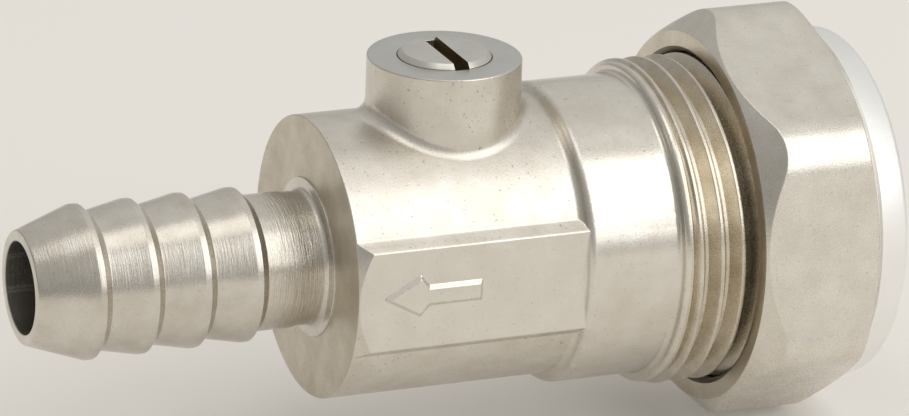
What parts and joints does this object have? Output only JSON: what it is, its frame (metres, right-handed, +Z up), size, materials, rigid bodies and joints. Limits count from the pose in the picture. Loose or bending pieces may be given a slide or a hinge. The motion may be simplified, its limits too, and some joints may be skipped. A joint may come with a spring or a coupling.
{
  "type": "isolating valve",
  "caption": "Slotted ball isolating valve with a compression end for pipe and a barbed hose tail, spindle boss on top, flow arrow on its side flat.",
  "frame": {"origin": "On the waterway's axis at the pipe stop, where the end of a 15 mm pipe comes to rest in the socket.", "axes": "+X along the waterway, out of the compression end. +Z up the spindle. The ball's centre is at x = -11.5 mm."},
  "size_m": [0.0581, 0.0264, 0.0278],
  "materials": {
    "forged_nickel": "satin nickel plate on a blasted forging",
    "nut_nickel": "satin nickel plate",
    "spindle_nickel": "turned, nickel plated",
    "bare_brass": "turned brass",
    "ball_brass": "polished, chrome plated brass",
    "seat_ptfe": "white PTFE",
    "seal_rubber": "black nitrile"
  },
  "bodies": {
    "valve": {"body": "forged_nickel", "ball_seat_outlet": "seat_ptfe", "ball_seat_inlet": "seat_ptfe", "seat_retainer": "bare_brass", "spindle_thrust_washer": "seat_ptfe"},
    "spindle_unit": {"spindle": "spindle_nickel", "spindle_oring_lower": "seal_rubber", "spindle_oring_upper": "seal_rubber"},
    "ball_unit": {"ball": "ball_brass"},
    "olive_ring": {"olive": "bare_brass"},
    "nut": {"compression_nut": "nut_nickel"}
  },
  "joints": [
    {"name": "spindle_turn", "type": "hinge", "parent": "valve", "child": "spindle_unit", "pos_m": [-0.0115, 0, 0.008], "axis": [0, 0, 1], "continuous": true},
    {"name": "ball_turn", "type": "hinge", "parent": "valve", "child": "ball_unit", "pos_m": [-0.0115, 0, 0], "axis": [0, 0, 1], "continuous": true},
    {"name": "olive_slide", "type": "slide", "parent": "valve", "child": "olive_ring", "axis": [1, 0, 0], "range_m": [0, 0.00451]},
    {"name": "nut_turn", "type": "hinge", "parent": "olive_ring", "child": "nut", "pos_m": [0.012, 0, 0], "axis": [1, 0, 0], "range_deg": [0, 1080]}
  ],
  "couplings": [
    {"joint": "spindle_turn", "follows": "ball_turn", "ratio": 1},
    {"joint": "olive_slide", "follows": "nut_turn", "m_per_rad": 0.00023873}
  ]
}
